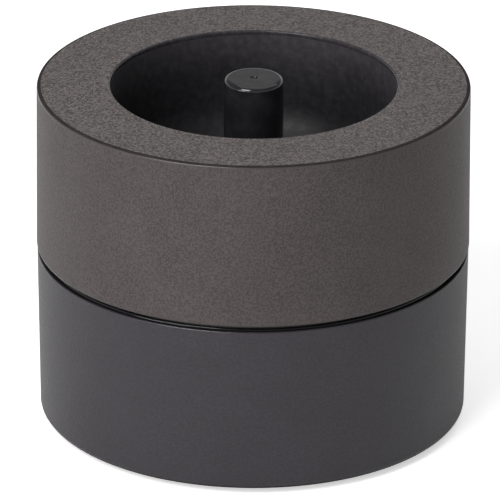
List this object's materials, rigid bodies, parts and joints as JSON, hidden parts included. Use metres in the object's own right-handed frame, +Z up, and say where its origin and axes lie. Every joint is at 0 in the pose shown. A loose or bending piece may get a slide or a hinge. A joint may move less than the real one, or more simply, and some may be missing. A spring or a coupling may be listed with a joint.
{
  "type": "magnetic paper clip holder",
  "caption": "Round desk holder for paper clips: an open bowl with a magnetic post, turning and lifting off a weighted base, with a shadow gap between the two.",
  "frame": {"origin": "centre of the anti-slip pad's underside, on the table", "axes": "+Z up, along the axis of the base, the bowl and the post"},
  "size_m": [0.073, 0.073, 0.06],
  "materials": {
    "shell": "fine moulded grain, charcoal black, smooth rounded edges",
    "bowl": "smooth satin black",
    "post": "polished black",
    "ring": "polished black, slippery",
    "deck": "plain moulded black",
    "pad": "fine-celled anti-slip foam rubber",
    "ballast": "bare sheet steel, ground faces",
    "pole": "turned mild steel",
    "magnet": "nickel plating",
    "screws": "zinc plating"
  },
  "bodies": {
    "base": {"base_shell": "shell", "foot_pad": "pad", "ballast_disc": "ballast", "base_deck": "deck", "base_screws": "screws"},
    "ring": {"glide_ring": "ring"},
    "bowl_unit": {"top_shell": "shell", "bowl": "bowl", "bowl_carrier": "deck", "carrier_screws": "screws", "post_sleeve": "post", "pole_disc": "pole", "upper_magnet": "magnet", "lower_magnet": "magnet", "post_core": "pole", "post_washer": "screws", "post_screw": "screws"}
  },
  "joints": [
    {"name": "bowl_turn", "type": "hinge", "parent": "base", "child": "ring", "pos_m": [0, 0, 0.0303], "axis": [0, 0, 1], "continuous": true},
    {"name": "bowl_lift", "type": "slide", "parent": "ring", "child": "bowl_unit", "axis": [0, 0, 1], "range_m": [0, 0.04]}
  ]
}
